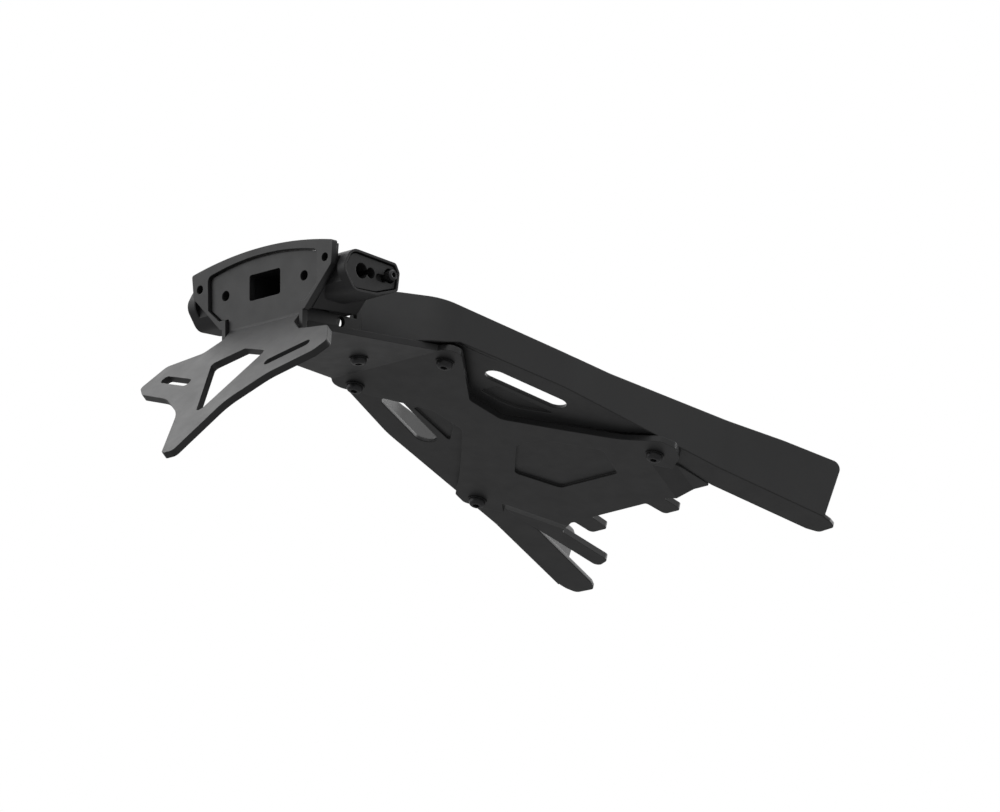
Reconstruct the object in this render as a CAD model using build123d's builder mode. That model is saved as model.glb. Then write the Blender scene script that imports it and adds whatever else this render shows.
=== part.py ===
"""A folded sheet-metal tail tidy for a motorcycle, with a number plate bracket and indicator sockets.

The frame is the one it has on the bike: +X to the bike's right, +Y forward, +Z up, in millimetres.
The origin is the middle of the four bolts that fix it under the seat unit, in the plane of their seats.
Sheets are drawn in the tray's plane, which falls towards the front: local x is the bike's right,
local y is the way forward from the rear fold, and the sheet's normal points up.
"""
import os
from math import atan2, cos, degrees, radians, sin, tan

from build123d import *

# Tray: pitch of the main plane, and the four fixing bolts as distances forward of the rear fold
tray_pitch = 15.0
rear_bolt_y = 13.0
rear_bolt_x = 39.5
front_bolt_y = 164.0
front_bolt_x = 78.0

# Centre plate
plate_t = 4.0
bend_r = 3.0
tail_end = 98.0            # length of the level rear panel behind the fold
tail_half = 30.0           # half its width at the rear end
fold_half = 47.0           # half its width at the fold
right_rear_ear = (61.0, 5.0, 8.0)      # corner of each rear bolt's ear: x, y and rounding radius
left_rear_ear = (54.0, 8.0, 10.0)      # the left one measured to the left
waist_half = 16.5
waist_y = 59.0
waist_length = 28.0
right_front_ear = 97.0     # reach of the ears of the front bolts, to the right and to the left
left_front_ear = 89.0
front_ear_y = 163.0
front_y = 212.5            # front edge between the tabs
tab_length = 16.0
tab_inner = 25.0
tab_outer = 39.5
corner_x = 66.0            # start of the line where each front corner is joggled up
corner_y = 174.0
corner_end_x = 48.0
corner_end_y = 215.5
corner_rise = 3.6
corner_width = 13.0
corner_side_x = 75.9       # outer side of the front corners, just clear of the side panels
corner_cut_x = 8.5         # how far the cut that frees each front corner runs outward and forward
corner_cut_y = 10.0
corner_room = 0.6          # room between the front corners and the side panels' flanges
corner_reach = 80.0
prong_inner = 63.0         # the single prong, on the left front corner
prong_w = 12.5
prong_y = 271.0
press_x = 11.0             # middle of the pressed panel in the centre plate
press_y = 146.0
press_half = 39.0
press_half_y = 28.0
press_rear_half = 10.0
press_front_half = 25.0
press_depth = 1.6

# Side panels
side_t = 2.5
rear_gap = 4.0             # room between centre plate and side panel at the rear bolts
front_gap = 1.0            # and at the front bolts
wall_rear_h = 22.3
wall_front_h = 39.5
wall_end_x = 118.0
wall_end_y = 282.0
wall_middle = (97.5, 200.0)            # the wall's outer face bends slightly at these two places
wall_waist = (78.0, 80.0)
shoulder_corner = (50.5, -8.0)
shoulder_end = (6.5, -41.0)
step_start_y = 80.0
step_end_y = 240.0
flange_waist_x = 8.5       # inner edge of the flanges beside the waist
pocket_press_depth = 1.3   # how far the wedge beside the slot is pressed up
shoulder_r = 28.0
slot_x = 51.3
slot_y = 72.3
slot_length = 58.0
slot_width = 14.5
slot_angle = 15.5

# Fasteners
bolt_d = 6.0
bolt_clearance = 0.5
head_d = 10.5
head_h = 3.3
hex_key = 4.0
neck_bolt_y = 23.6
neck_screw_x = 14.0
neck_screw_y = 88.0
neck_screw_d = 5.0
washer_d = 12.0
washer_t = 1.0
thread_drop = 0.3          # how much thinner a thread is than its shank, in radius
bolt_free = 12.0           # thread left standing above the side panels for the bike's own nuts
nut_across = 10.0
nut_h = 5.0

# Number plate end: distances are measured back from the rear fold
panel_y = 105.3            # rear face of the plate bracket's upright panel
panel_t = 4.6
frame_t = 4.0
panel_recess = 2.3         # how far the bracket's panel sits inside the frame's rear face
pocket_clearance = 0.8
backing_inset = 1.5        # how far the backing plate stands in from the frame's edge
outer_hole_z = 38.0
outer_hole_d = 5.5
inner_hole_x = 34.5
inner_hole_z = 30.5
inner_hole_d = 6.5
window_w = 27.0
window_h = 16.5
window_z = 31.3
fork_angle = 49.4          # fall of the fork below the level
fork_fold_z = 7.0
fork_neck_half = 31.0
foot_gap = 1.5             # room between the fork's neck and the frame's feet
foot_w = 3.0
foot_bottom_z = -3.0
shield_half = 62.0         # half width of the frame at its upper corners
shield_foot_half = 37.0    # and at the lower end of its slanting sides
shield_side_z = 33.0       # upper and lower end of those sides
shield_foot_z = 8.5
outer_hole_x = shield_half - 7.0
pocket_half = shield_half - 14.0       # half width of the frame's opening
shield_corner_z = 48.0
shield_top = 55.0
plate_slot_w = 6.5

# Tail block and indicator sockets
frame_room = shield_half + 1.0         # half the width left for the frame and its plates
cap_depth = 6.0            # depth of the recess in each end of the bar
block_half = frame_room + cap_depth
block_front = 57.0
socket_r = 5.0
socket_depth = 20.0
socket_y = 88.5
socket_z = 30.3
lobe_r = 3.5
lobe_offset = 8.0
cheek_t = 3.0
cheek_x = 30.0
cheek_front = 51.0
horn_top = 28.0            # height of the cheeks' ends in front of the tail block
relief_d = 7.0
relief_y = 69.0

pitch = radians(tray_pitch)
bolt_mid_y = (rear_bolt_y + front_bolt_y) / 2
fold_origin = Vector(0, -bolt_mid_y * cos(pitch), bolt_mid_y * sin(pitch))
panel_tilt = degrees(atan2(rear_gap - front_gap, front_bolt_y - rear_bolt_y))


def tray(height=0.0):
    """The tray's plane at a height above the centre plate's lower face."""
    return Plane(fold_origin, x_dir=(1, 0, 0), z_dir=(0, sin(pitch), cos(pitch))).offset(height)


def side_plane(height=0.0):
    """The side panels' own plane, a little flatter than the tray's, at a height above their lower face."""
    seat = tray(plate_t + rear_gap).from_local_coords((0, rear_bolt_y, 0))
    tilt = pitch + radians(panel_tilt)
    middle = Plane(seat, x_dir=(1, 0, 0), z_dir=(0, sin(tilt), cos(tilt)))
    return Plane(middle.from_local_coords((0, -rear_bolt_y, height)), x_dir=(1, 0, 0), z_dir=middle.z_dir)


def level(height=0.0):
    """A level plane at a height above the rear panel's lower face, with local y forward from the fold."""
    return Plane(fold_origin, x_dir=(1, 0, 0), z_dir=(0, 0, 1)).offset(height)


def upright(distance):
    """An upright plane facing the rear at a distance behind the fold; local x is right and local y is up."""
    return Plane(fold_origin - Vector(0, distance, 0), x_dir=(1, 0, 0), z_dir=(0, -1, 0))


def across(x=0.0):
    """A plane across the bike at x; local x is forward from the fold and local y is up."""
    return Plane(fold_origin + Vector(x, 0, 0), x_dir=(0, 1, 0), z_dir=(1, 0, 0))


def outline(corners):
    """Adds a face to the sketch from its corners, each given as x, y and rounding radius."""
    with BuildLine() as edge:
        FilletPolyline(*[(x, y) for x, y, r in corners], radius=[r for x, y, r in corners], close=True)
    make_face(edge.edges())


def both_sides(corners):
    """Right-hand corners followed by their mirror images, as one loop."""
    return corners + [(-x, y, r) for x, y, r in reversed(corners) if x > 0.001]


os.makedirs("parts", exist_ok=True)
pieces = []


def keep(part, label):
    """Names a finished piece and puts it on the list of pieces to write."""
    part.label = label
    pieces.append(part)


# Centre plate: one folded sheet, level behind the fold and pitched down in front of it
fold_shift = plate_t * tan(pitch / 2)
reach = front_y + tab_length + 10
with BuildPart() as folded_sheet:
    with BuildSketch(across(-right_front_ear - 10)):
        outline([
            (-tail_end, 0, 0),
            (0, 0, bend_r),
            (reach * cos(pitch), -reach * sin(pitch), 0),
            (reach * cos(pitch) + plate_t * sin(pitch), -reach * sin(pitch) + plate_t * cos(pitch), 0),
            (fold_shift, plate_t, bend_r + plate_t),
            (-tail_end, plate_t, 0),
        ])
    extrude(amount=2 * right_front_ear + 20)

with BuildPart() as rear_blank:
    with BuildSketch(level(-plate_t)):
        outline(both_sides([(tail_half, -tail_end, 3), (fold_half, 2, 0)]))
    extrude(amount=3 * plate_t)


def main_corners(rear_ear, front_ear):
    """The centre plate's edge on one side, from the fold to the middle of its front edge."""
    return [
        (fold_half, -1, 0),
        rear_ear,
        (waist_half, waist_y, 8),
        (waist_half + 0.5, waist_y + waist_length, 8),
        (44, 114, 30),
        (64, 133, 14),
        (72, 140, 10),
        (front_ear - 3, front_ear_y - 11, 6),
        (front_ear, front_ear_y, 5),
        (front_ear - 7, front_ear_y + 11, 4),
        (corner_x + corner_cut_x, corner_y + corner_cut_y, 0),
        (corner_x, corner_y, 0),
        (corner_end_x, corner_end_y, 0),
        (tab_outer + 3, front_y + 0.5, 1.5),
        (tab_outer, front_y + 0.5, 1.5),
        (tab_outer, front_y + tab_length, 3),
        (tab_inner, front_y + tab_length, 3),
        (tab_inner - 1, front_y, 2),
    ]


with BuildPart() as main_blank:
    with BuildSketch(tray(-2 * plate_t)):
        outline(main_corners(right_rear_ear, right_front_ear)
                + [(-x, y, r) for x, y, r in reversed(main_corners(left_rear_ear, left_front_ear))])
    extrude(amount=5 * plate_t)

# Each front corner leaves the main plane along a slanting line; the left one carries a prong
along = Vector(corner_end_x - corner_x, corner_end_y - corner_y, 0).normalized()
outward = Vector(along.Y, -along.X, 0)
corner_start = tray().from_local_coords((corner_x, corner_y, 0))
outward_dir = tray().from_local_coords((outward.X, outward.Y, 0)) - fold_origin
along_dir = tray().from_local_coords((along.X, along.Y, 0)) - fold_origin
corner_section = Plane(corner_start, x_dir=outward_dir, z_dir=along_dir * -1)
joggle_shift = plate_t * tan(atan2(corner_rise, corner_width) / 2)
with BuildPart() as corner_sheet:
    with BuildSketch(corner_section):
        outline([
            (0, 0, 0),
            (corner_width, corner_rise, 2),
            (corner_reach, corner_rise, 0),
            (corner_reach, corner_rise + plate_t, 0),
            (corner_width - joggle_shift, corner_rise + plate_t, 2),
            (-joggle_shift, plate_t, 0),
        ])
    extrude(amount=1.5 * corner_reach, both=True)

corner_side = [(corner_x, corner_y, 0), (corner_x + corner_cut_x, corner_y + corner_cut_y, 0),
               (corner_side_x, corner_y + corner_cut_y + 6, 2)]
with BuildPart() as right_corner:
    with BuildSketch(tray(-2 * plate_t)):
        outline(corner_side + [
            (corner_side_x, corner_end_y, 2),
            (corner_end_x, corner_end_y, 0),
        ])
    extrude(amount=6 * plate_t)
    add(corner_sheet.part, mode=Mode.INTERSECT)

prong_round = 0.3 * prong_w
with BuildPart() as left_corner:
    with BuildSketch(tray(-2 * plate_t)):
        outline(corner_side + [
            (corner_side_x, corner_end_y + 2, 2),
            (prong_inner + prong_w, corner_end_y + 9, 2),
            (prong_inner + prong_w, prong_y, prong_round),
            (prong_inner, prong_y - 4, prong_round),
            (prong_inner, corner_end_y + 10, 2),
            (corner_end_x, corner_end_y, 0),
        ])
    extrude(amount=6 * plate_t)
    add(corner_sheet.part, mode=Mode.INTERSECT)

bolt_places = [(rear_bolt_x, rear_bolt_y), (-rear_bolt_x, rear_bolt_y),
               (front_bolt_x, front_bolt_y), (-front_bolt_x, front_bolt_y)]

press_corners = [
    (press_x - press_half, press_y, 5),
    (press_x - press_front_half, press_y + press_half_y, 5),
    (press_x + press_front_half, press_y + press_half_y, 5),
    (press_x + press_half, press_y, 5),
    (press_x + press_rear_half, press_y - press_half_y, 5),
    (press_x - press_rear_half, press_y - press_half_y, 5),
]
with BuildPart() as centre_plate:
    add(folded_sheet.part.intersect(rear_blank.part))
    add(folded_sheet.part.intersect(main_blank.part))
    add(right_corner.part)
    add(left_corner.part.mirror(Plane.YZ))
    with BuildSketch(tray(plate_t - 0.5)):
        outline(press_corners)
        offset(amount=1.5)
    extrude(amount=press_depth + 0.5)
    with BuildSketch(tray()):
        outline(press_corners)
    extrude(amount=press_depth, mode=Mode.SUBTRACT)
    with BuildSketch(tray(-1)):
        with Locations(*bolt_places):
            Circle((bolt_d + bolt_clearance) / 2)
    extrude(amount=plate_t + 2, mode=Mode.SUBTRACT)
    with BuildSketch(level(-1)):
        with Locations((0, -neck_bolt_y)):
            Circle((bolt_d + bolt_clearance) / 2)
        with Locations((-neck_screw_x, -neck_screw_y), (neck_screw_x, -neck_screw_y)):
            Circle((neck_screw_d + bolt_clearance) / 2)
    extrude(amount=plate_t + 2, mode=Mode.SUBTRACT)
keep(centre_plate.part, "centre_plate")

# Right side panel: a flange over the centre plate's edge and a wall that curls in to a shoulder
wall_line = [(wall_end_x, wall_end_y, 0), (*wall_middle, 60), (*wall_waist, 90),
             (*shoulder_corner, shoulder_r), (*shoulder_end, 0)]
shoulder_gap = 0.6
shoulder_step_y = -31.0    # behind it the shoulder's lower edge clears the neck bracket's base


def shoulder_edge(y, height):
    """A point of the shoulder's lower edge, given level from the fold, in the side panel's own plane."""
    return side_plane().to_local_coords(level(height).from_local_coords((0, y, 0)))


low_front = shoulder_edge(0, plate_t + shoulder_gap)
step_low = shoulder_edge(shoulder_step_y, plate_t + shoulder_gap)
step_high = shoulder_edge(shoulder_step_y, plate_t + cheek_t + shoulder_gap)
low = shoulder_edge(-70, plate_t + cheek_t + shoulder_gap)
with BuildPart() as wall_sheet:
    with BuildSketch(side_plane(low.Z)):
        with BuildLine() as wall_path:
            FilletPolyline(*[(x - side_t / 2, y) for x, y, r in wall_line],
                           radius=[r for x, y, r in wall_line[1:-1]])
        trace(wall_path.line, line_width=side_t)
    extrude(amount=wall_front_h - low.Z)
    with BuildSketch(Plane(side_plane().origin, x_dir=side_plane().y_dir, z_dir=(1, 0, 0))):
        outline([
            (-60, wall_rear_h - 8, 0),
            (-27, wall_rear_h + 2, 12),
            (step_start_y, wall_rear_h, 60),
            (step_start_y + 30, wall_rear_h + 1.5, 60),
            (step_end_y, wall_front_h - 2.5, 60),
            (wall_end_y, wall_front_h, 5),
            (wall_end_y - 4, 0, 0),
            (8, 0, 0),
            (low_front.Y, low_front.Z, 0),
            (step_low.Y, step_low.Z, 0),
            (step_high.Y, step_high.Z, 0),
            (low.Y, low.Z, 0),
        ])
    extrude(amount=160, mode=Mode.INTERSECT)

wedge_corners = [(22, 61, 2), (24, 77, 10), (28.5, 89, 10), (43.6, 102, 2), (46.3, 105.4, 1), (37, 61.6, 2)]
with BuildPart() as right_side_panel:
    with BuildSketch(side_plane()):
        outline([
            (45, -12, 8),
            (28, -8, 6),
            (flange_waist_x + 3, 18, 20),
            (flange_waist_x, 50, 20),
            (flange_waist_x, 88, 14),
            (front_bolt_x - 42, front_bolt_y - 48, 20),
            (front_bolt_x - 19, front_bolt_y - 25, 20),
            (corner_x - 2, corner_y - 8, 8),
            (corner_x + 6, corner_y + 4, 6),
            (corner_side_x + corner_room, corner_y + corner_cut_y + 2, 4),
            (corner_side_x + corner_room, corner_end_y, 20),
            (wall_end_x - 23.5, wall_end_y + 3, 6),
            (wall_end_x - 19, wall_end_y + 10, 4),
            (wall_end_x - 4.5, wall_end_y + 9, 4),
            (wall_end_x - 2, wall_end_y + 2, 1),
            (wall_end_x - 1.7, wall_end_y - 3, 0),
            (wall_middle[0] - side_t / 2, wall_middle[1], 60),
            (wall_waist[0] - side_t / 2, wall_waist[1], 90),
        ])
        with Locations(Location((slot_x, slot_y), 90 - slot_angle)):
            SlotOverall(slot_length, slot_width, mode=Mode.SUBTRACT)
        with Locations((rear_bolt_x, rear_bolt_y), (front_bolt_x, front_bolt_y)):
            Circle((bolt_d + bolt_clearance) / 2, mode=Mode.SUBTRACT)
    extrude(amount=side_t)
    with BuildSketch(side_plane(side_t)):
        outline(wedge_corners)
        offset(amount=1.0)
    extrude(amount=pocket_press_depth)
    with BuildSketch(side_plane()):
        outline(wedge_corners)
    extrude(amount=pocket_press_depth, mode=Mode.SUBTRACT)
    add(wall_sheet.part)
keep(right_side_panel.part, "right_side_panel")
keep(right_side_panel.part.mirror(Plane.YZ), "left_side_panel")

# Shapes of the upright end, drawn in the upright plane
pocket_bottom = foot_bottom_z - 5
foot_inner = fork_neck_half + foot_gap
foot_outer = foot_inner + foot_w
shield_slope = (shield_side_z - shield_foot_z) / (shield_half - 1.5 - shield_foot_half)


def above_side(x, rise):
    """A point of the opening at x, a rise above the frame's slanting lower edge."""
    return (x, shield_foot_z + (x - shield_foot_half) * shield_slope + rise)


pocket_side = above_side(pocket_half - 0.3, 3.3447)
pocket_foot = above_side(foot_inner + 5.5, 4.7574)
with BuildSketch() as pocket:
    with BuildLine():
        ThreePointArc((-pocket_half, 44.5), (0, 50.5), (pocket_half, 44.5))
        Polyline((pocket_half, 44.5), pocket_side, pocket_foot, (foot_inner, 14.2), (foot_inner, pocket_bottom),
                 (-foot_inner, pocket_bottom), (-foot_inner, 14.2), (-pocket_foot[0], pocket_foot[1]),
                 (-pocket_side[0], pocket_side[1]), (-pocket_half, 44.5))
    make_face()
    corners = pocket.vertices().group_by(Axis.Y)
    fillet(corners[-1], 4)
    fillet(pocket.vertices().group_by(Axis.Y)[2], 3)

with BuildSketch() as shield:
    with BuildLine():
        ThreePointArc((-shield_half, shield_corner_z), (0, shield_top), (shield_half, shield_corner_z))
        Polyline((shield_half, shield_corner_z), (shield_half - 1.5, shield_side_z),
                 (shield_foot_half, shield_foot_z), (-shield_foot_half, shield_foot_z),
                 (-shield_half + 1.5, shield_side_z), (-shield_half, shield_corner_z))
    make_face()
    fillet(shield.vertices().group_by(Axis.Y)[-1], 1.5)
    fillet(shield.vertices().group_by(Axis.Y)[1], 3)

outer_holes = [(-outer_hole_x, outer_hole_z), (outer_hole_x, outer_hole_z)]
inner_holes = [(-inner_hole_x, inner_hole_z), (inner_hole_x, inner_hole_z)]

# Rear frame: the plate round the bracket's panel, open below, where it straddles the fork's neck
frame_back = panel_y + panel_recess
with BuildPart() as rear_frame:
    with BuildSketch(upright(frame_back)):
        add(shield.sketch)
        with Locations((0, foot_bottom_z)):
            Rectangle(2 * foot_outer, 19, align=(Align.CENTER, Align.MIN))
        add(pocket.sketch, mode=Mode.SUBTRACT)
        with Locations(*outer_holes):
            Circle(outer_hole_d / 2, mode=Mode.SUBTRACT)
    extrude(amount=-frame_t)
keep(rear_frame.part, "rear_frame")

# Plate bracket: one sheet with an upright panel and a fork that falls away behind it
turn = radians(90 - fork_angle)
fork_reach = 140.0
fork = radians(fork_angle)
fork_tip = (-panel_y - fork_reach * cos(fork), fork_fold_z - fork_reach * sin(fork))
with BuildPart() as bracket_sheet:
    with BuildSketch(across(-90)):
        outline([
            (-panel_y, 60, 0),
            (-panel_y, fork_fold_z, bend_r),
            (*fork_tip, 0),
            (fork_tip[0] + panel_t * sin(fork), fork_tip[1] - panel_t * cos(fork), 0),
            (-panel_y + panel_t, fork_fold_z - panel_t * tan(turn / 2), bend_r + panel_t),
            (-panel_y + panel_t, 60, 0),
        ])
    extrude(amount=180)

fork_plane = Plane(upright(panel_y).from_local_coords((0, fork_fold_z, 0)),
                   x_dir=(1, 0, 0), z_dir=(0, sin(fork), -cos(fork)))
fork_corners = [
    (fork_neck_half, -9, 0),
    (fork_neck_half, 8, 3),
    (42, 18.5, 8),
    (71, 23.5, 6),
    (82, 42, 4),
    (75, 50.5, 6),
    (44, 64, 30),
    (21, 85, 30),
    (5, 130, 4),
]
plate_slot_x = 48.8
plate_slot_y = 44.4
plate_slot_length = 34.0
plate_slot_angle = 22.0
with BuildPart() as plate_bracket:
    with BuildSketch(upright(panel_y + 5)):
        add(pocket.sketch)
        offset(amount=-pocket_clearance)
        with Locations((0, pocket_bottom)):
            Rectangle(80, 2 * (fork_fold_z - pocket_bottom), mode=Mode.SUBTRACT)
        with Locations(*inner_holes):
            Circle(inner_hole_d / 2, mode=Mode.SUBTRACT)
        with Locations((0, window_z)):
            RectangleRounded(window_w, window_h, 1.6, mode=Mode.SUBTRACT)
    extrude(amount=-(panel_t + 10))
    with BuildSketch(fork_plane.offset(-10)):
        outline(both_sides(fork_corners))
        with BuildLine() as kite:
            FilletPolyline((0, 26), (23.7, 35), (0, 93), (-23.7, 35), radius=[2, 3, 3, 3], close=True)
        make_face(kite.edges(), mode=Mode.SUBTRACT)
        for side in (-1, 1):
            with Locations(Location((side * plate_slot_x, plate_slot_y), -side * plate_slot_angle)):
                SlotOverall(plate_slot_length, plate_slot_w, mode=Mode.SUBTRACT)
    extrude(amount=panel_t + 20)
    add(bracket_sheet.part, mode=Mode.INTERSECT)
keep(plate_bracket.part, "plate_bracket")

# Backing plate: a ring round the bracket's panel, between the frame and the tail block
block_rear = panel_y - panel_t
frame_front = frame_back - frame_t
with BuildPart() as backing_plate:
    with BuildSketch(upright(frame_front)):
        add(shield.sketch)
        offset(amount=-backing_inset)
        add(pocket.sketch, mode=Mode.SUBTRACT)
        with Locations(*outer_holes):
            Circle(outer_hole_d / 2, mode=Mode.SUBTRACT)
    extrude(amount=-(frame_front - block_rear))
keep(backing_plate.part, "backing_plate")

# Tail block: a bar of leaf section across the bike on a flared neck, with a foot between the cheeks
base_t = cheek_t
neck_top = 13.0
foot_front = 76.0
outer_hole_depth = 6.0
inner_hole_depth = 15.0
rim = 1.6                  # wall left round that recess
clamp_y = 64.4
clamp_z = 31.5
clamp_d = 7.0
lamp_room = 26.0
leaf = [(-106, 30, 8), (-98, 43.5, 9), (-59.5, 40.4, 3), (-56.2, 34.8, 4), (-58, 22.5, 3),
        (-76, 16.8, 12), (-96, 16, 8)]
foot_bottom = plate_t + base_t
with BuildPart() as tail_block:
    with BuildSketch(across(-block_half)):
        outline(leaf)
    extrude(amount=2 * block_half)
    with BuildSketch(upright(block_rear)):
        outline(both_sides([(cheek_x, neck_top, 0), (cheek_x + 7, 10, 1),
                            (shield_half - 4.5, 32, 3), (shield_half - 4.5, 45, 4)]))
    with BuildSketch(upright(block_front + 2)):
        outline(both_sides([(cheek_x, neck_top + 2, 0), (cheek_x + 4, neck_top + 1, 1),
                            (shield_half - 18, 24, 3), (shield_half - 18, 35, 4)]))
    loft()
    with BuildSketch(upright(block_rear)):
        with Locations((0, window_z)):
            Rectangle(2 * frame_room, 70)
    extrude(amount=30, mode=Mode.SUBTRACT)
    with BuildSketch(upright(block_rear)):
        with Locations((0, window_z)):
            RectangleRounded(window_w + 2, window_h + 2, 2)
    extrude(amount=-lamp_room, mode=Mode.SUBTRACT)
    with BuildSketch(upright(block_rear)):
        with Locations((0, (neck_top + 2 + foot_bottom) / 2)):
            Rectangle(2 * (cheek_x - cheek_t), neck_top + 2 - foot_bottom)
    extrude(amount=-(block_rear - foot_front))
    with BuildSketch(upright(block_rear)):
        with Locations(*outer_holes):
            Circle(outer_hole_d / 2)
    extrude(amount=-outer_hole_depth, mode=Mode.SUBTRACT)
    with BuildSketch(upright(block_rear)):
        with Locations(*inner_holes):
            Circle(inner_hole_d / 2)
    extrude(amount=-inner_hole_depth, mode=Mode.SUBTRACT)
    for side in (-1, 1):
        with BuildSketch(across(side * block_half)):
            outline(leaf)
            offset(amount=-rim)
        extrude(amount=-side * cap_depth, mode=Mode.SUBTRACT)
        with BuildSketch(across(side * (block_half - cap_depth))):
            with Locations((-socket_y, socket_z)):
                Circle(socket_r)
            with Locations((-socket_y + lobe_offset, socket_z)):
                Circle(lobe_r)
            with Locations((-clamp_y, clamp_z)):
                Circle(clamp_d / 2 - 1)
        extrude(amount=-side * socket_depth, mode=Mode.SUBTRACT)
    with BuildSketch(level(foot_bottom)):
        with Locations((-neck_screw_x, -neck_screw_y), (neck_screw_x, -neck_screw_y)):
            Circle(neck_screw_d / 2)
    extrude(amount=12, mode=Mode.SUBTRACT)
keep(tail_block.part, "tail_block")

# Socket caps: leaf-shaped inserts in the block's ends, with the keyhole that takes an indicator's stem
cap_t = 5.0
cap_gap = 0.9
recess_y = -71.6
recess_z = 28.8
with BuildPart() as right_cap:
    with BuildSketch(across(block_half - cap_depth)):
        outline(leaf)
        offset(amount=-rim - cap_gap)
        with Locations((-clamp_y, clamp_z)):
            Circle(clamp_d / 2 + 1.2, mode=Mode.SUBTRACT)
        with Locations((-socket_y, socket_z)):
            Circle(socket_r, mode=Mode.SUBTRACT)
        with Locations((-socket_y + lobe_offset, socket_z)):
            Circle(lobe_r, mode=Mode.SUBTRACT)
    extrude(amount=cap_t)
    with BuildSketch(across(block_half - cap_depth + cap_t)):
        with Locations((recess_y, recess_z)):
            SlotOverall(9, 5)
    extrude(amount=-3, mode=Mode.SUBTRACT)
keep(right_cap.part, "right_socket_cap")
keep(right_cap.part.mirror(Plane.YZ), "left_socket_cap")

with BuildPart() as right_clamp_screw:
    with BuildSketch(across(block_half - cap_depth)):
        with Locations((-clamp_y, clamp_z)):
            Circle(clamp_d / 2)
    extrude(amount=cap_depth + 3)
    chamfer(right_clamp_screw.faces().sort_by(Axis.X)[-1].edges(), 0.8)
    with BuildSketch(across(block_half + 3)):
        with Locations((-clamp_y, clamp_z)):
            RegularPolygon(1.5, 6, major_radius=False)
    extrude(amount=-2.5, mode=Mode.SUBTRACT)
    with BuildSketch(across(block_half - cap_depth)):
        with Locations((-clamp_y, clamp_z)):
            Circle(clamp_d / 2 - 1.2)
    extrude(amount=-10)
keep(right_clamp_screw.part + right_clamp_screw.part.mirror(Plane.YZ), "clamp_screws")

# Neck bracket: a channel on the rear panel whose cheeks carry the tail block
neck_front = 12.0
with BuildPart() as neck_bracket:
    with BuildSketch(upright(block_rear)):
        with BuildLine():
            Polyline((-cheek_x, neck_top), (-cheek_x, plate_t), (cheek_x, plate_t), (cheek_x, neck_top),
                     (cheek_x - cheek_t, neck_top), (cheek_x - cheek_t, foot_bottom),
                     (-cheek_x + cheek_t, foot_bottom), (-cheek_x + cheek_t, neck_top), (-cheek_x, neck_top))
        make_face()
    extrude(amount=-(block_rear - cheek_front))
    for side in (-1, 1):
        with BuildSketch(across(side * cheek_x)):
            outline([(-block_front + 2, neck_top - 3, 0), (-block_front + 2, horn_top, 1),
                     (-cheek_front, horn_top - 6, 1), (-cheek_front, neck_top - 3, 0)])
        extrude(amount=-side * cheek_t)
    with BuildSketch(level(plate_t)):
        outline(both_sides([(cheek_x - 2, -cheek_front - 2, 0), (16, -cheek_front + 14, 8),
                            (13, -neck_front, 8)]))
    extrude(amount=base_t)
    with BuildSketch(across(-cheek_x - 1)):
        with Locations((-relief_y, plate_t + base_t + 2)):
            Circle(relief_d / 2)
    extrude(amount=2 * cheek_x + 2, mode=Mode.SUBTRACT)
    with BuildSketch(level(plate_t - 1)):
        with Locations((0, -neck_bolt_y)):
            Circle((bolt_d + bolt_clearance) / 2)
        with Locations((-neck_screw_x, -neck_screw_y), (neck_screw_x, -neck_screw_y)):
            Circle((neck_screw_d + bolt_clearance) / 2)
    extrude(amount=base_t + 2, mode=Mode.SUBTRACT)
keep(neck_bracket.part, "neck_bracket")


def button_screw(size, head, height, key, length, thread=0.0):
    """A button head screw that points up, with its seat at z = 0 and a thinner thread at its end."""
    tip = size / 2 - thread_drop
    with BuildPart() as screw:
        with BuildSketch(Plane.XZ):
            with BuildLine():
                Polyline((0, -height), (head * 0.3, -height))
                ThreePointArc((head * 0.3, -height), (head * 0.45, -height * 0.62), (head / 2, 0))
                Polyline((head / 2, 0), (size / 2, 0), (size / 2, length - thread), (tip, length - thread),
                         (tip, length - 0.7), (tip - 0.7, length), (0, length), (0, -height))
            make_face()
        revolve(axis=Axis.Z)
        with BuildSketch(Plane.XY.offset(-height)):
            RegularPolygon(key / 2, 6, major_radius=False)
        extrude(amount=height * 0.6, mode=Mode.SUBTRACT)
    return screw.part


def tray_fastener(part, x, y, height):
    """A copy of a part set on the tray's plane at x, y and a height."""
    return tray(height).location * Pos(x, y, 0) * part


head_seat = -washer_t
stack_top = plate_t + rear_gap + side_t
rear_screw = button_screw(bolt_d, head_d, head_h, hex_key, washer_t + stack_top + bolt_free, bolt_free)
front_stack = stack_top - rear_gap + front_gap
front_screw = button_screw(bolt_d, head_d, head_h, hex_key, washer_t + front_stack + bolt_free, bolt_free)
for label, screw, x, y in [
    ("right_rear_bolt", rear_screw, rear_bolt_x, rear_bolt_y),
    ("left_rear_bolt", rear_screw, -rear_bolt_x, rear_bolt_y),
    ("right_front_bolt", front_screw, front_bolt_x, front_bolt_y),
    ("left_front_bolt", front_screw, -front_bolt_x, front_bolt_y),
]:
    keep(tray_fastener(screw, x, y, head_seat), label)

neck_grip = plate_t + base_t
neck_bolt = button_screw(bolt_d, head_d, head_h, hex_key, washer_t + neck_grip + nut_h + 2, 2)
keep(level(head_seat).location * Pos(0, -neck_bolt_y, 0) * neck_bolt, "neck_bolt")

with BuildPart() as washer:
    with BuildSketch():
        Circle(washer_d / 2)
        Circle((bolt_d + bolt_clearance) / 2, mode=Mode.SUBTRACT)
    extrude(amount=washer_t)
washers = [tray_fastener(washer.part, x, y, -washer_t) for x, y in bolt_places]
washers.append(level(-washer_t).location * Pos(0, -neck_bolt_y, 0) * washer.part)
keep(Compound(children=washers), "bolt_washers")

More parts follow.
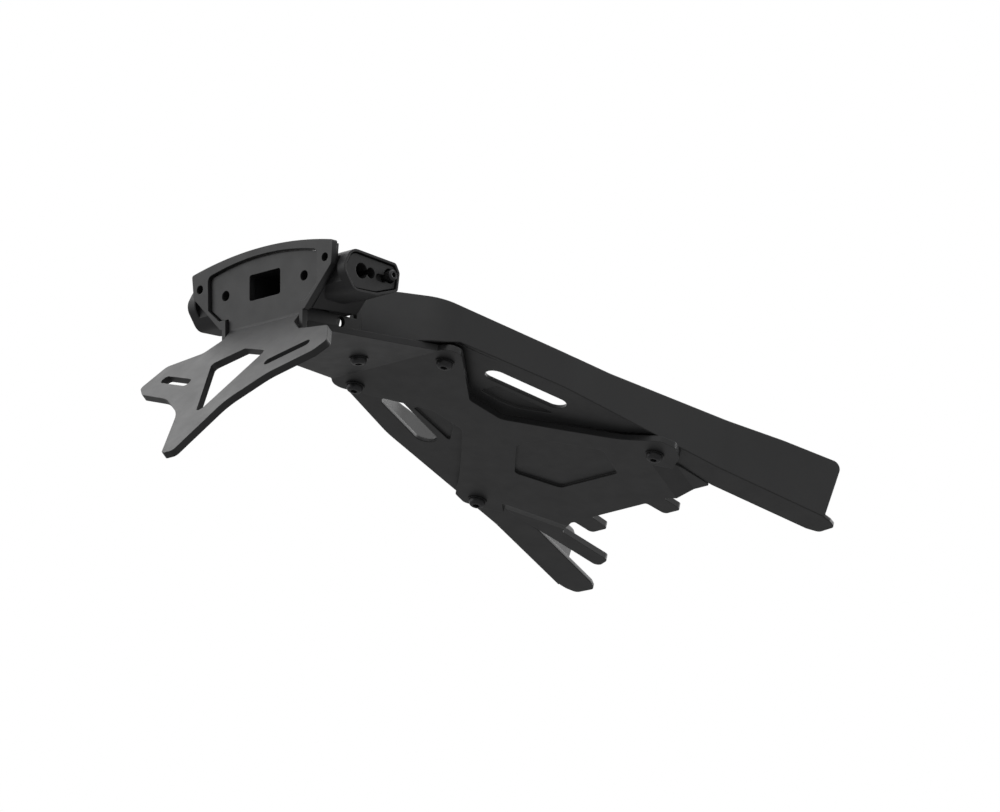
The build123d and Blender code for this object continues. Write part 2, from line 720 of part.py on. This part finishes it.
with BuildPart() as neck_nut:
    with BuildSketch(level(neck_grip)):
        with Locations((0, -neck_bolt_y)):
            RegularPolygon(nut_across / 2, 6, major_radius=False)
            Circle(bolt_d / 2, mode=Mode.SUBTRACT)
    extrude(amount=nut_h)
    chamfer(neck_nut.faces().sort_by(Axis.Z)[-1].outer_wire().edges(), 0.6)
keep(neck_nut.part, "neck_nut")

# Bushes that hold the side panels clear of the centre plate, tall at the rear and thin at the front
lean = washer_d / 2 * tan(radians(panel_tilt))
with BuildPart() as bushes:
    for x, y, gap in [(rear_bolt_x, rear_bolt_y, rear_gap), (front_bolt_x, front_bolt_y, front_gap)]:
        for side in (-1, 1):
            with BuildSketch(tray(plate_t)):
                with Locations((side * x, y)):
                    Circle(washer_d / 2)
                    Circle((bolt_d + bolt_clearance) / 2, mode=Mode.SUBTRACT)
            extrude(amount=gap - lean)
keep(bushes.part, "side_panel_bushes")

with BuildPart() as neck_screws:
    screw = button_screw(neck_screw_d, 8.5, 2.6, 3.0, neck_grip + 10, 2)
    for side in (-1, 1):
        add(level().location * Pos(side * neck_screw_x, -neck_screw_y, 0) * screw)
keep(neck_screws.part, "neck_screws")

for piece in pieces:
    export_step(piece, f"parts/{piece.label}.step")
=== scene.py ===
"""Looks for a black sheet-metal tail tidy, laid out as an add-on and run as a script.

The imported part's own frame is in metres: +X to the bike's right, +Y forward, +Z up.
Fasteners and webs are drawn in millimetres, and MM turns them into metres where they enter a mesh.
"""

from math import atan2, cos, pi, radians, sin, tau

import bmesh
import bpy
from bpy.props import FloatProperty, FloatVectorProperty, IntProperty, PointerProperty
from mathutils import Matrix, Vector


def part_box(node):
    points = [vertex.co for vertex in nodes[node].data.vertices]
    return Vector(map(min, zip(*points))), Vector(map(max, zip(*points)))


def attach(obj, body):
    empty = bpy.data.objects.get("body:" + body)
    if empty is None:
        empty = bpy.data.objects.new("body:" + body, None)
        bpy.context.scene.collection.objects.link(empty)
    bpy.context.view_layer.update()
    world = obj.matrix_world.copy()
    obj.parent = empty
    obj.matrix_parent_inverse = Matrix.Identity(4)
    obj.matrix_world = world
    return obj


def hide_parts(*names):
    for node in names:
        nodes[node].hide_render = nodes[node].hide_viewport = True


bl_info = {
    "name": "Tail tidy",
    "version": (1, 0, 0),
    "blender": (4, 5, 0),
    "location": "View3D > Sidebar > Tidy",
    "description": "Finishes the sheets, the tail block and the fasteners of a motorcycle tail tidy",
    "category": "Object",
}

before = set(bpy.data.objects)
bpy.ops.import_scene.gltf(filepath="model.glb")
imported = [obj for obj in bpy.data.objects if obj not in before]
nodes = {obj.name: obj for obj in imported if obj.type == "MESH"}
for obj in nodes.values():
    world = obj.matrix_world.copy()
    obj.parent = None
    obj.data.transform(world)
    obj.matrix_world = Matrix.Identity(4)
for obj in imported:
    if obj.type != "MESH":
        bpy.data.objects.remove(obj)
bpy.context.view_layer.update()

MM = 0.001
BODY = "root"

SHEETS = ("centre_plate", "left_side_panel", "right_side_panel", "rear_frame", "plate_bracket",
          "backing_plate", "neck_bracket")
SIDE_PANELS = ("left_side_panel", "right_side_panel")
MOULDED = ("tail_block", "left_socket_cap", "right_socket_cap")
PLAIN_STEEL = ("side_panel_bushes", "clamp_screws", "bolt_washers")

# The tray hangs at this slope from the fold at its rear, whose place is in the part's frame
TRAY_SLOPE = radians(15.0)
FOLD = Vector((0.0, -85.484, 22.906)) * MM
LEVEL = Matrix.Translation(FOLD)
TRAY = LEVEL @ Matrix.Rotation(-TRAY_SLOPE, 4, "X")

# Each tray bolt: its place to the right and forward of the fold, and its length under the head
WASHER = 1.0
REAR_BOLT_LENGTH = 22.5 + WASHER
FRONT_BOLT_LENGTH = 19.5 + WASHER
TRAY_BOLTS = {
    "right_rear_bolt": ((39.5, 13.0), REAR_BOLT_LENGTH),
    "left_rear_bolt": ((-39.5, 13.0), REAR_BOLT_LENGTH),
    "right_front_bolt": ((78.0, 164.0), FRONT_BOLT_LENGTH),
    "left_front_bolt": ((-78.0, 164.0), FRONT_BOLT_LENGTH),
}
TRAY_THREAD = 12.0
NECK_THREAD = 8.0

# The two smaller screws under the neck
SCREW_HEAD_HEIGHT = 2.6
SCREW_KEY = 3.0
SCREW_SIZE = 4.9
SCREW_PITCH = 0.8

# A button head from the mouth of its socket outwards, in shares of the head's width and height
DOME = ((0.30, 1.0), (0.36, 0.955), (0.415, 0.83), (0.455, 0.64), (0.483, 0.40), (0.497, 0.15))
SOCKET_DEPTH = 0.42
RINGS_PER_TURN = 6         # rings along the shank for each turn of its thread
THREAD_DEPTH = 0.30
BORE_CLEARANCE = 0.08      # between a nut's bore and the thread in it
SMOOTH_ANGLE = radians(35.0)

# The end webs follow the rounded rear of the bar's section: y and z from the fold, x from the middle
WEB_CENTRE_Y = -96.46
WEB_CENTRE_Z = 30.40
WEB_RADIUS = 7.95
WEB_START = 149.3          # upper and lower end of the rounding, in degrees
WEB_END = 215.5
WEB_STEPS = 8
WEB_FRONT_Y = -100.65
WEB_TOP_Z = 38.8
WEB_BOTTOM_Z = 22.7
WEB_INNER_X = 62.4
WEB_THICKNESS = 0.65

# The middle of a noise's values, which is where most of them lie
NOISE_LOW = 0.3
NOISE_HIGH = 0.7
NYLON_COLOUR = (0.05, 0.05, 0.055)

# The white room is brightest in one direction and falls off smoothly away from it
ROOM_BRIGHT = (-0.15, 0.0, 0.99)
ROOM_RAMP = {"From Min": -0.1, "From Max": 0.85, "To Min": 0.31, "To Max": 1.0}
FLOOR_SIZE = 150.0
FLOOR_COLOUR = (0.8, 0.8, 0.8)
FLOOR_ROUGHNESS = 0.9
WHITE = (1.0, 1.0, 1.0, 1.0)

# Each soft light: its name, its direction from the part, its side in metres and its power in watts
SOFTBOX_DISTANCE = 2.5
SOFTBOXES = (
    ("upper left softbox", (-0.68, 0.15, 0.72), 2.4, 20.0),
    ("rear left softbox", (-0.68, -0.68, 0.26), 1.6, 8.5),
    ("front softbox", (0.10, 0.95, 0.28), 1.2, 17.0),
)


class TidyFinish(bpy.types.PropertyGroup):
    """Colours and textures of the coat, the moulding and the steel."""

    coat_colour: FloatVectorProperty(name="Coat colour", description="Satin powder coat of the sheets",
                                     subtype="COLOR", size=3, min=0, max=1, default=(0.021, 0.0212, 0.022))
    coat_roughness: FloatProperty(name="Coat roughness", description="How matt the powder coat is",
                                  subtype="FACTOR", min=0, max=1, default=0.46)
    coat_grain: FloatProperty(name="Coat grain", description="Size of the powder coat's orange peel",
                              subtype="DISTANCE", unit="LENGTH", min=0.0001, default=0.0009)
    edge_round: FloatProperty(name="Edge rounding", description="Radius that the coat gives a cut edge",
                              subtype="DISTANCE", unit="LENGTH", min=0.0, default=0.0005)
    fold_round: FloatProperty(name="Fold rounding", description="Softer radius of the side panels' folds",
                              subtype="DISTANCE", unit="LENGTH", min=0.0, default=0.0012)
    block_colour: FloatVectorProperty(name="Block colour", description="Moulded plastic of the tail block",
                                      subtype="COLOR", size=3, min=0, max=1, default=(0.016, 0.016, 0.017))
    block_roughness: FloatProperty(name="Block roughness", description="How matt the moulding is",
                                   subtype="FACTOR", min=0, max=1, default=0.55)
    steel_colour: FloatVectorProperty(name="Steel colour", description="Blackened steel of the fasteners",
                                      subtype="COLOR", size=3, min=0, max=1, default=(0.045, 0.045, 0.047))
    steel_roughness: FloatProperty(name="Steel roughness", description="How dull the blackened steel is",
                                   subtype="FACTOR", min=0, max=1, default=0.36)


class TidyFasteners(bpy.types.PropertyGroup):
    """Sizes that the bolts share, and the fineness of every turned surface."""

    head_width: FloatProperty(name="Head width", description="Across a bolt's button head",
                              subtype="DISTANCE", unit="LENGTH", default=0.0105)
    head_height: FloatProperty(name="Head height", description="From the seat to the top of the head",
                               subtype="DISTANCE", unit="LENGTH", default=0.0033)
    key_width: FloatProperty(name="Key width", description="Across the flats of the socket",
                             subtype="DISTANCE", unit="LENGTH", default=0.004)
    thread_size: FloatProperty(name="Thread size", description="Outer diameter of a bolt's thread",
                               subtype="DISTANCE", unit="LENGTH", default=0.0059)
    thread_pitch: FloatProperty(name="Thread pitch", description="Advance of the thread in one turn",
                                subtype="DISTANCE", unit="LENGTH", default=0.001)
    steps: IntProperty(name="Steps", description="Sides of a turned surface, a multiple of six",
                       min=12, default=48)


class TidyStage(bpy.types.PropertyGroup):
    """The photograph's view and the room around the part."""

    azimuth: FloatProperty(name="Azimuth", description="Camera's turn about the part, from behind it",
                           subtype="ANGLE", unit="ROTATION", default=radians(45))
    elevation: FloatProperty(name="Elevation", description="Camera's height angle",
                             subtype="ANGLE", unit="ROTATION", default=radians(-15))
    distance: FloatProperty(name="Distance", description="From the camera to the middle of the view",
                            subtype="DISTANCE", unit="LENGTH", default=20.0)
    view_width: FloatProperty(name="View width", description="Width of the view at the part",
                              subtype="DISTANCE", unit="LENGTH", default=0.6225)
    target: FloatVectorProperty(name="Target", description="Middle of the view", subtype="XYZ",
                                unit="LENGTH", size=3, default=(-0.00027, 0.01513, 0.01551))
    floor_height: FloatProperty(name="Floor height", description="The floor lies far below the part",
                                subtype="DISTANCE", unit="LENGTH", default=-8.6)


def new_material(name):
    """An empty node material with its output and main shader."""
    material = bpy.data.materials.new(name)
    material.use_nodes = True
    tree = material.node_tree
    tree.nodes.clear()
    output = tree.nodes.new("ShaderNodeOutputMaterial")
    shader = tree.nodes.new("ShaderNodeBsdfPrincipled")
    tree.links.new(shader.outputs["BSDF"], output.inputs["Surface"])
    return material, tree, shader


def noise(tree, size, detail=3.0, roughness=0.55):
    """A noise texture on Object coordinates with grains of one size."""
    place = tree.nodes.new("ShaderNodeTexCoord")
    texture = tree.nodes.new("ShaderNodeTexNoise")
    texture.inputs["Scale"].default_value = 1.0 / size
    texture.inputs["Detail"].default_value = detail
    texture.inputs["Roughness"].default_value = roughness
    tree.links.new(place.outputs["Object"], texture.inputs["Vector"])
    return texture.outputs["Fac"]


def spread(tree, value, low, high):
    """Maps the middle of a noise onto a range."""
    node = tree.nodes.new("ShaderNodeMapRange")
    node.inputs["From Min"].default_value = NOISE_LOW
    node.inputs["From Max"].default_value = NOISE_HIGH
    node.inputs["To Min"].default_value = low
    node.inputs["To Max"].default_value = high
    tree.links.new(value, node.inputs["Value"])
    return node.outputs["Result"]


def shades(tree, value, colour, lift):
    """Varies a colour a little, darker and lighter, along a noise."""
    ramp = tree.nodes.new("ShaderNodeValToRGB")
    dark, light = ramp.color_ramp.elements
    dark.position = NOISE_LOW
    light.position = NOISE_HIGH
    dark.color = [c * (1 - lift) for c in colour] + [1.0]
    light.color = [c * (1 + lift) for c in colour] + [1.0]
    tree.links.new(value, ramp.inputs["Fac"])
    return ramp.outputs["Color"]


def rounded(tree, radius):
    """A normal that softens the sharp edges of a solid."""
    bevel = tree.nodes.new("ShaderNodeBevel")
    bevel.samples = 8
    bevel.inputs["Radius"].default_value = radius
    return bevel.outputs["Normal"]


def bumped(tree, value, normal, distance, strength):
    """A fine relief laid over a normal."""
    bump = tree.nodes.new("ShaderNodeBump")
    bump.inputs["Distance"].default_value = distance
    bump.inputs["Strength"].default_value = strength
    tree.links.new(value, bump.inputs["Height"])
    tree.links.new(normal, bump.inputs["Normal"])
    return bump.outputs["Normal"]


def dress(tree, shader, colour, roughness, normal=None):
    """Links a finish's textures to its shader."""
    tree.links.new(colour, shader.inputs["Base Color"])
    tree.links.new(roughness, shader.inputs["Roughness"])
    if normal is not None:
        tree.links.new(normal, shader.inputs["Normal"])


def coat_material(finish, name, edge_round):
    """Satin black powder coat: orange peel, soft edges and faint cloudiness."""
    material, tree, shader = new_material(name)
    peel = noise(tree, finish.coat_grain, detail=2.0)
    clouds = noise(tree, size=0.045, detail=4.0)
    colour = shades(tree, clouds, finish.coat_colour, lift=0.10)
    roughness = spread(tree, noise(tree, size=0.012),
                       low=finish.coat_roughness - 0.035, high=finish.coat_roughness + 0.035)
    normal = bumped(tree, peel, rounded(tree, edge_round), distance=0.00004, strength=0.35)
    dress(tree, shader, colour, roughness, normal)
    return material


def block_material(finish):
    """Matt moulded plastic with a spark-eroded grain."""
    material, tree, shader = new_material("matt black moulding")
    grain = noise(tree, size=0.0006, detail=3.0, roughness=0.7)
    colour = shades(tree, noise(tree, size=0.03), finish.block_colour, lift=0.08)
    roughness = spread(tree, noise(tree, size=0.008),
                       low=finish.block_roughness - 0.04, high=finish.block_roughness + 0.04)
    normal = bumped(tree, grain, rounded(tree, radius=0.0006), distance=0.00006, strength=0.5)
    dress(tree, shader, colour, roughness, normal)
    return material


def steel_material(finish):
    """Blackened steel, a dull dark metal with fine handling marks."""
    material, tree, shader = new_material("blackened steel")
    marks = noise(tree, size=0.0015, detail=5.0, roughness=0.65)
    colour = shades(tree, marks, finish.steel_colour, lift=0.22)
    roughness = spread(tree, marks, low=finish.steel_roughness - 0.06, high=finish.steel_roughness + 0.08)
    normal = bumped(tree, marks, rounded(tree, radius=0.00025), distance=0.00003, strength=0.3)
    shader.inputs["Metallic"].default_value = 0.6
    dress(tree, shader, colour, roughness, normal)
    return material


def nylon_material():
    """The nut's dull nylon ring."""
    material, tree, shader = new_material("nylon ring")
    grain = noise(tree, size=0.0008)
    colour = shades(tree, grain, NYLON_COLOUR, lift=0.1)
    dress(tree, shader, colour, spread(tree, grain, low=0.42, high=0.52))
    return material


def finish_node(name, material):
    """Gives a CAD node one material."""
    slots = nodes[name].data.materials
    slots.clear()
    slots.append(material)


def turned(profile, steps):
    """A bmesh turned about Z from a profile of (radius, height) points in millimetres."""
    mesh = bmesh.new()
    line = [mesh.verts.new((r * MM, 0.0, z * MM)) for r, z in profile]
    edges = [mesh.edges.new(pair) for pair in zip(line, line[1:])]
    bmesh.ops.spin(mesh, geom=line + edges, cent=(0, 0, 0), axis=(0, 0, 1), dvec=(0, 0, 0),
                   angle=tau, steps=steps, use_merge=True, use_duplicate=False)
    bmesh.ops.remove_doubles(mesh, verts=mesh.verts, dist=1e-7)
    return mesh


def hexagon_reach(angle, across):
    """Distance from the axis to the side of a hexagon that has a corner at angle 0."""
    turn = angle % (tau / 6) - tau / 12
    return across / 2 / cos(turn)


def to_hexagon(verts, across, inwards_only=False):
    """Moves ring vertices to the sides of a hexagon, or only those that stand outside it."""
    for vert in verts:
        radius = vert.co.xy.length
        reach = hexagon_reach(atan2(vert.co.y, vert.co.x), across)
        if radius > reach or not inwards_only:
            vert.co.xy *= reach / radius


def cut_thread(verts, pitch, depth):
    """Presses a helical groove into a turned shank."""
    for vert in verts:
        radius = vert.co.xy.length
        phase = (vert.co.z / pitch - atan2(vert.co.y, vert.co.x) / tau) % 1.0
        drop = depth * abs(2 * phase - 1)
        vert.co.xy *= (radius - drop) / radius


def to_piece(mesh, name, place, materials):
    """Turns a bmesh into a finished piece whose place is in its vertices."""
    bmesh.ops.transform(mesh, matrix=place, verts=mesh.verts)
    bmesh.ops.recalc_face_normals(mesh, faces=mesh.faces)
    for face in mesh.faces:
        face.smooth = True
    for edge in mesh.edges:
        if len(edge.link_faces) == 2 and edge.calc_face_angle(0.0) > SMOOTH_ANGLE:
            edge.smooth = False
    data = bpy.data.meshes.new(name)
    mesh.to_mesh(data)
    mesh.free()
    for material in materials:
        data.materials.append(material)
    piece = bpy.data.objects.new(name, data)
    bpy.context.scene.collection.objects.link(piece)
    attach(piece, BODY)
    return piece


def button_screw_mesh(head, height, key, size, length, thread, pitch, steps):
    """A button head screw that points up, its seat at z = 0: domed head, hexagon socket, threaded end."""
    radius = size / 2
    key_radius = key / 2
    floor_z = -height * SOCKET_DEPTH
    drill_point = 0.25
    mouth_width = 0.12
    mouth_depth = 0.15
    neck_fillet = 0.15
    tip_bevel = 0.7
    lead = 0.05

    socket = [(0.0, floor_z + drill_point), (key_radius * 0.9, floor_z), (key_radius, floor_z),
              (key_radius, -height + mouth_depth), (key_radius + mouth_width, -height)]
    dome = [(head * width, -height * rise) for width, rise in DOME]
    seat = [(head * 0.5, -0.12), (head * 0.49, 0.0)]
    shank = [(radius + neck_fillet, 0.0), (radius, neck_fillet), (radius, length - thread)]
    rings = round((thread - tip_bevel) / pitch * RINGS_PER_TURN)
    rise = (thread - lead - tip_bevel) / rings
    threaded = [(radius - 0.02, length - thread + lead + step * rise) for step in range(rings + 1)]
    tip = [(radius - tip_bevel, length), (0.0, length)]
    mesh = turned(socket + dome + seat + shank + threaded + tip, steps)

    to_hexagon([v for v in mesh.verts if v.co.z < (floor_z + 0.05) * MM
                and key_radius * 0.8 * MM < v.co.xy.length < (key_radius + 0.01) * MM], key * MM)
    start = (length - thread + 0.3) * MM
    end = (length - tip_bevel + lead) * MM
    cut_thread([v for v in mesh.verts if start < v.co.z < end], pitch * MM, THREAD_DEPTH * MM)
    return mesh


def bolt_mesh(sizes, length, thread):
    """A bolt with the sizes that the tray's four bolts and the neck's share."""
    return button_screw_mesh(sizes.head_width / MM, sizes.head_height / MM, sizes.key_width / MM,
                             sizes.thread_size / MM, length, thread, sizes.thread_pitch / MM, sizes.steps)


def locknut_mesh(across, height, bore, steps):
    """A locking nut that stands on z = 0, with a collar round its nylon ring, which has material 1."""
    half = across / 2
    corner = half / cos(pi / 6)
    ring_z = height * 0.94
    foot = [(bore, 0.0), (bore + 0.4, 0.0), (half - 0.4, 0.0)]
    prism = [(corner, 0.55), (corner, height * 0.56), (half - 0.3, height * 0.70)]
    collar = [(half - 0.75, height * 0.72), (half - 0.8, height * 0.93), (half - 1.25, height)]
    ring = [(bore + 0.75, height), (bore + 0.7, ring_z), (bore, ring_z)]
    mesh = turned(foot + prism + collar + ring + foot[:1], steps)
    to_hexagon(mesh.verts, across * MM, inwards_only=True)
    for face in mesh.faces:
        middle = face.calc_center_median()
        if middle.z > height * 0.935 * MM and middle.xy.length < (bore + 0.76) * MM:
            face.material_index = 1
    return mesh


def neck_bolt(sizes, steel):
    """The bolt that holds the neck, in place of the CAD's plain one."""
    low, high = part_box("neck_bolt")
    centre = (low + high) / 2
    mesh = bolt_mesh(sizes, (high.z - low.z) / MM - sizes.head_height / MM, NECK_THREAD)
    seat = Matrix.Translation((centre.x, centre.y, low.z + sizes.head_height))
    piece = to_piece(mesh, "neck_bolt_threaded", seat, [steel])
    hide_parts("neck_bolt")


def neck_nut(sizes, steel):
    """The neck bolt's locking nut, with its nylon ring."""
    low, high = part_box("neck_nut")
    centre = (low + high) / 2
    bore = sizes.thread_size / MM / 2 + BORE_CLEARANCE
    mesh = locknut_mesh((high.y - low.y) / MM, (high.z - low.z) / MM, bore, sizes.steps)
    seat = Matrix.Translation((centre.x, centre.y, low.z))
    piece = to_piece(mesh, "neck_locknut", seat, [steel, nylon_material()])
    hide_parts("neck_nut")


def neck_screws(sizes, steel):
    """The neck's two smaller screws, as one piece."""
    low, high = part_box("neck_screws")
    centre = (low + high) / 2
    head = (high.y - low.y) / MM
    length = (high.z - low.z) / MM - SCREW_HEAD_HEIGHT
    reach = (high.x - low.x) / 2 - head / 2 * MM
    both = bmesh.new()
    for side in (-1, 1):
        screw = button_screw_mesh(head, SCREW_HEAD_HEIGHT, SCREW_KEY, SCREW_SIZE, length, NECK_THREAD,
                                  SCREW_PITCH, sizes.steps)
        bmesh.ops.translate(screw, vec=(side * reach, 0, 0), verts=screw.verts)
        part = bpy.data.meshes.new("screw")
        screw.to_mesh(part)
        screw.free()
        both.from_mesh(part)
        bpy.data.meshes.remove(part)
    seat = Matrix.Translation((centre.x, centre.y, low.z + SCREW_HEAD_HEIGHT * MM))
    piece = to_piece(both, "neck_screws_threaded", seat, [steel])
    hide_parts("neck_screws")


class TIDY_OT_coat_sheets(bpy.types.Operator):
    """Gives the folded sheets their satin powder coat"""

    bl_idname = "tidy.coat_sheets"
    bl_label = "Coat sheets"

    def execute(self, context):
        finish = context.scene.tidy_finish
        flat = coat_material(finish, "satin black powder coat", finish.edge_round)
        folded = coat_material(finish, "satin black powder coat, folded", finish.fold_round)
        for name in SHEETS:
            finish_node(name, folded if name in SIDE_PANELS else flat)
        return {"FINISHED"}


class TIDY_OT_mould_block(bpy.types.Operator):
    """Gives the tail block and its socket caps their moulded plastic"""

    bl_idname = "tidy.mould_block"
    bl_label = "Mould tail block"

    def execute(self, context):
        material = block_material(context.scene.tidy_finish)
        for name in MOULDED:
            finish_node(name, material)
        return {"FINISHED"}


class TIDY_OT_blacken_steel(bpy.types.Operator):
    """Gives the washers, bushes and clamp screws their blackened steel"""

    bl_idname = "tidy.blacken_steel"
    bl_label = "Blacken steel"

    def execute(self, context):
        material = steel_material(context.scene.tidy_finish)
        for name in PLAIN_STEEL:
            finish_node(name, material)
        return {"FINISHED"}


class TIDY_OT_end_webs(bpy.types.Operator):
    """Closes the bar's two ends towards the rear frame with a thin web each"""

    bl_idname = "tidy.end_webs"
    bl_label = "End webs"

    def execute(self, context):
        outline = [(WEB_FRONT_Y, WEB_TOP_Z)]
        for step in range(WEB_STEPS + 1):
            angle = radians(WEB_START + step * (WEB_END - WEB_START) / WEB_STEPS)
            outline.append((WEB_CENTRE_Y + WEB_RADIUS * cos(angle), WEB_CENTRE_Z + WEB_RADIUS * sin(angle)))
        outline.append((WEB_FRONT_Y, WEB_BOTTOM_Z))
        webs = bmesh.new()
        for side in (-1, 1):
            ring = [webs.verts.new((side * WEB_INNER_X * MM, y * MM, z * MM)) for y, z in outline]
            face = webs.faces.new(ring)
            made = bmesh.ops.extrude_face_region(webs, geom=[face])["geom"]
            moved = [item for item in made if isinstance(item, bmesh.types.BMVert)]
            bmesh.ops.translate(webs, vec=(side * WEB_THICKNESS * MM, 0, 0), verts=moved)
        material = bpy.data.materials["matt black moulding"]
        to_piece(webs, "block_end_webs", LEVEL, [material])
        return {"FINISHED"}


class TIDY_OT_tray_bolts(bpy.types.Operator):
    """Turns the four threaded bolts that hang the tray"""

    bl_idname = "tidy.tray_bolts"
    bl_label = "Tray bolts"

    def execute(self, context):
        sizes = context.scene.tidy_fasteners
        steel = bpy.data.materials["blackened steel"]
        for name, ((x, y), length) in TRAY_BOLTS.items():
            place = TRAY @ Matrix.Translation(Vector((x, y, -WASHER)) * MM)
            mesh = bolt_mesh(sizes, length, TRAY_THREAD)
            piece = to_piece(mesh, name + "_threaded", place, [steel])
            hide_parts(name)
        return {"FINISHED"}


class TIDY_OT_neck_fasteners(bpy.types.Operator):
    """Turns the neck's bolt, its locking nut and the two smaller screws"""

    bl_idname = "tidy.neck_fasteners"
    bl_label = "Neck fasteners"

    def execute(self, context):
        sizes = context.scene.tidy_fasteners
        steel = bpy.data.materials["blackened steel"]
        neck_bolt(sizes, steel)
        neck_nut(sizes, steel)
        neck_screws(sizes, steel)
        return {"FINISHED"}


def add_floor(height):
    """A pale floor for views from above, which throws no light back at the part."""
    mesh = bmesh.new()
    bmesh.ops.create_grid(mesh, x_segments=2, y_segments=2, size=FLOOR_SIZE)
    bmesh.ops.translate(mesh, vec=(0, 0, height), verts=mesh.verts)
    data = bpy.data.meshes.new("floor")
    mesh.to_mesh(data)
    mesh.free()
    material, _, shader = new_material("pale floor")
    shader.inputs["Base Color"].default_value = (*FLOOR_COLOUR, 1.0)
    shader.inputs["Roughness"].default_value = FLOOR_ROUGHNESS
    data.materials.append(material)
    floor = bpy.data.objects.new("floor", data)
    bpy.context.scene.collection.objects.link(floor)
    floor.visible_diffuse = False
    floor.visible_glossy = False


def white_room():
    """A world that the camera sees plain white, and that lights the part most from above."""
    world = bpy.data.worlds.new("white room")
    world.use_nodes = True
    tree = world.node_tree
    tree.nodes.clear()
    place = tree.nodes.new("ShaderNodeTexCoord")
    slope = tree.nodes.new("ShaderNodeVectorMath")
    slope.operation = "DOT_PRODUCT"
    slope.inputs[1].default_value = ROOM_BRIGHT
    ramp = tree.nodes.new("ShaderNodeMapRange")
    ramp.interpolation_type = "SMOOTHSTEP"
    for name, value in ROOM_RAMP.items():
        ramp.inputs[name].default_value = value
    room = tree.nodes.new("ShaderNodeBackground")
    room.inputs["Color"].default_value = WHITE
    backdrop = tree.nodes.new("ShaderNodeBackground")
    backdrop.inputs["Color"].default_value = WHITE
    path = tree.nodes.new("ShaderNodeLightPath")
    mix = tree.nodes.new("ShaderNodeMixShader")
    output = tree.nodes.new("ShaderNodeOutputWorld")
    tree.links.new(place.outputs["Generated"], slope.inputs[0])
    tree.links.new(slope.outputs["Value"], ramp.inputs["Value"])
    tree.links.new(ramp.outputs["Result"], room.inputs["Strength"])
    tree.links.new(path.outputs["Is Camera Ray"], mix.inputs["Fac"])
    tree.links.new(room.outputs["Background"], mix.inputs[1])
    tree.links.new(backdrop.outputs["Background"], mix.inputs[2])
    tree.links.new(mix.outputs["Shader"], output.inputs["Surface"])
    return world


def soft_light(name, towards, size, power):
    """A square soft light that faces the part from a direction."""
    lamp = bpy.data.lights.new(name, "AREA")
    lamp.shape = "SQUARE"
    lamp.size = size
    lamp.energy = power
    holder = bpy.data.objects.new(name, lamp)
    direction = Vector(towards).normalized()
    holder.location = direction * SOFTBOX_DISTANCE
    holder.rotation_euler = direction.to_track_quat("Z", "Y").to_euler()
    bpy.context.scene.collection.objects.link(holder)


def photograph_camera(stage):
    """The photograph's camera, far off with a long lens, so that the view is close to parallel."""
    lens = bpy.data.cameras.new("photograph")
    lens.sensor_width = 36.0
    lens.lens = lens.sensor_width * stage.distance / stage.view_width
    camera = bpy.data.objects.new("photograph", lens)
    out = Vector((sin(stage.azimuth) * cos(stage.elevation), -cos(stage.azimuth) * cos(stage.elevation),
                  sin(stage.elevation)))
    camera.location = Vector(stage.target) + out * stage.distance
    camera.rotation_euler = out.to_track_quat("Z", "Y").to_euler()
    bpy.context.scene.collection.objects.link(camera)
    return camera


class TIDY_OT_stage(bpy.types.Operator):
    """Sets the pale floor, the white room, the soft lights and the photograph's camera"""

    bl_idname = "tidy.stage"
    bl_label = "Stage"

    def execute(self, context):
        stage = context.scene.tidy_stage
        add_floor(stage.floor_height)
        context.scene.world = white_room()
        for name, towards, size, power in SOFTBOXES:
            soft_light(name, towards, size, power)
        context.scene.camera = photograph_camera(stage)
        context.scene.view_settings.view_transform = "Standard"
        return {"FINISHED"}


class TIDY_PT_panel(bpy.types.Panel):
    """Lists the steps that finish the tidy."""

    bl_label = "Tail tidy"
    bl_idname = "TIDY_PT_panel"
    bl_space_type = "VIEW_3D"
    bl_region_type = "UI"
    bl_category = "Tidy"

    def draw(self, context):
        layout = self.layout
        for settings in (context.scene.tidy_finish, context.scene.tidy_fasteners, context.scene.tidy_stage):
            box = layout.box()
            for name in settings.bl_rna.properties.keys():
                if name not in ("rna_type", "name"):
                    box.prop(settings, name)
        for operator in OPERATORS:
            layout.operator(operator.bl_idname)


GROUPS = {"tidy_finish": TidyFinish, "tidy_fasteners": TidyFasteners, "tidy_stage": TidyStage}
OPERATORS = (TIDY_OT_stage, TIDY_OT_coat_sheets, TIDY_OT_mould_block, TIDY_OT_blacken_steel,
             TIDY_OT_end_webs, TIDY_OT_tray_bolts, TIDY_OT_neck_fasteners)


def register():
    """Registers the settings, the operators and the panel."""
    for name, group in GROUPS.items():
        bpy.utils.register_class(group)
        setattr(bpy.types.Scene, name, PointerProperty(type=group))
    for operator in OPERATORS:
        bpy.utils.register_class(operator)
    bpy.utils.register_class(TIDY_PT_panel)


def unregister():
    """Removes them again, the other way round."""
    bpy.utils.unregister_class(TIDY_PT_panel)
    for operator in reversed(OPERATORS):
        bpy.utils.unregister_class(operator)
    for name, group in GROUPS.items():
        delattr(bpy.types.Scene, name)
        bpy.utils.unregister_class(group)


def main():
    """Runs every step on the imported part."""
    register()
    bpy.ops.tidy.stage()
    bpy.ops.tidy.coat_sheets()
    bpy.ops.tidy.mould_block()
    bpy.ops.tidy.blacken_steel()
    bpy.ops.tidy.end_webs()
    bpy.ops.tidy.tray_bolts()
    bpy.ops.tidy.neck_fasteners()


if __name__ == "__main__":
    main()
